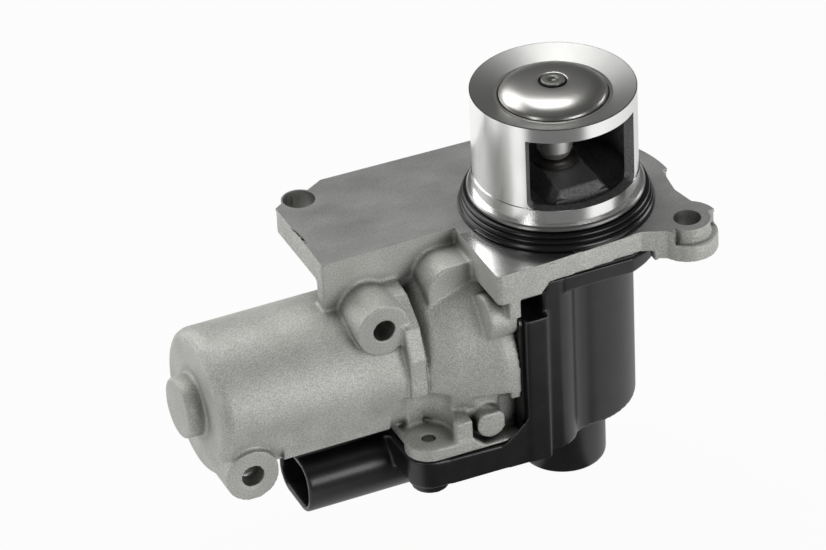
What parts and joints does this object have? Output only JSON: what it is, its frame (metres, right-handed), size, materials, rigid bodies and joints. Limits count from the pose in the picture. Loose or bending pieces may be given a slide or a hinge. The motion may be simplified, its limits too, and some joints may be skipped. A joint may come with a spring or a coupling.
{
  "type": "exhaust gas recirculation valve",
  "caption": "Electric poppet valve for exhaust gas: cast housing with motor barrel, flanged spigot with side window and domed poppet, black gear cover with plug shell and sensor cup.",
  "frame": {"origin": "on the valve axis where the spigot leaves its lip, 7.4 mm above the gasket face", "axes": "+Z along the valve towards the poppet, +X along the motor towards the gear cover, -Y out of the gas window"},
  "size_m": [0.1688, 0.0824, 0.1388],
  "materials": {
    "cast_aluminium": "sand-cast skin with machined faces",
    "machined_steel": "turned and polished",
    "black_plastic": "semi-matt moulded",
    "gear_plastic": "moulded, natural colour",
    "black_rubber": "smooth, slightly glossy",
    "bronze": "sintered",
    "copper": "enamelled winding wire",
    "magnet": "ferrite",
    "plated_steel": "zinc plated"
  },
  "bodies": {
    "valve_body": {"casting": "cast_aluminium", "seat_ring": "machined_steel", "guide_bush": "bronze", "stem_seal": "black_rubber", "spigot_seal": "black_rubber", "return_spring": "plated_steel", "gear_plate": "plated_steel", "plate_screws": "plated_steel", "motor_can": "plated_steel", "motor_front_plate": "plated_steel", "rear_bearing": "bronze", "front_bearing": "bronze", "motor_magnets": "magnet", "brush_card": "gear_plastic", "brushes": "magnet", "spring_washer": "plated_steel", "idler_axle": "machined_steel", "output_axle": "machined_steel", "gear_cover": "black_plastic", "cover_gasket": "black_rubber", "top_seal": "black_rubber", "cover_dowels": "plated_steel", "cover_screws": "plated_steel", "terminals": "plated_steel", "sensor_guide": "black_plastic", "sensor_spring": "plated_steel"},
    "motor_rotor": {"motor_shaft": "machined_steel", "armature_core": "machined_steel", "windings": "copper", "commutator": "copper", "motor_pinion": "bronze"},
    "idler": {"idler_gear": "gear_plastic"},
    "output": {"output_gear": "gear_plastic", "crank_pin": "machined_steel", "crank_roller": "bronze"},
    "valve": {"valve_head": "machined_steel", "valve_stem": "machined_steel", "stem_shield": "machined_steel", "yoke": "gear_plastic", "spring_plate": "plated_steel", "spring_clip": "plated_steel", "sensor_plunger": "gear_plastic"}
  },
  "joints": [
    {"name": "motor_spin", "type": "hinge", "parent": "valve_body", "child": "motor_rotor", "pos_m": [-0.08, 0.0047, -0.0482], "axis": [1, 0, 0], "range_deg": [-0.5, 866]},
    {"name": "idler_spin", "type": "hinge", "parent": "valve_body", "child": "idler", "pos_m": [-0.04, 0.0017, -0.03121], "axis": [1, 0, 0], "range_deg": [-241, 0.5]},
    {"name": "crank_turn", "type": "hinge", "parent": "valve_body", "child": "output", "pos_m": [-0.022, -0.00653, -0.05012], "axis": [1, 0, 0], "range_deg": [-0.1, 60.2]},
    {"name": "valve_lift", "type": "slide", "parent": "valve_body", "child": "valve", "axis": [0, 0, 1], "range_m": [0, 0.00701], "stiffness_N_per_m": 400, "springref_m": -0.004, "deforming": ["return_spring", "sensor_spring"]}
  ],
  "couplings": [
    {"joint": "motor_spin", "follows": "valve_lift", "rad_per_m": 2154.2},
    {"joint": "idler_spin", "follows": "valve_lift", "rad_per_m": -598.4},
    {"joint": "crank_turn", "follows": "valve_lift", "rad_per_m": 149.6}
  ]
}
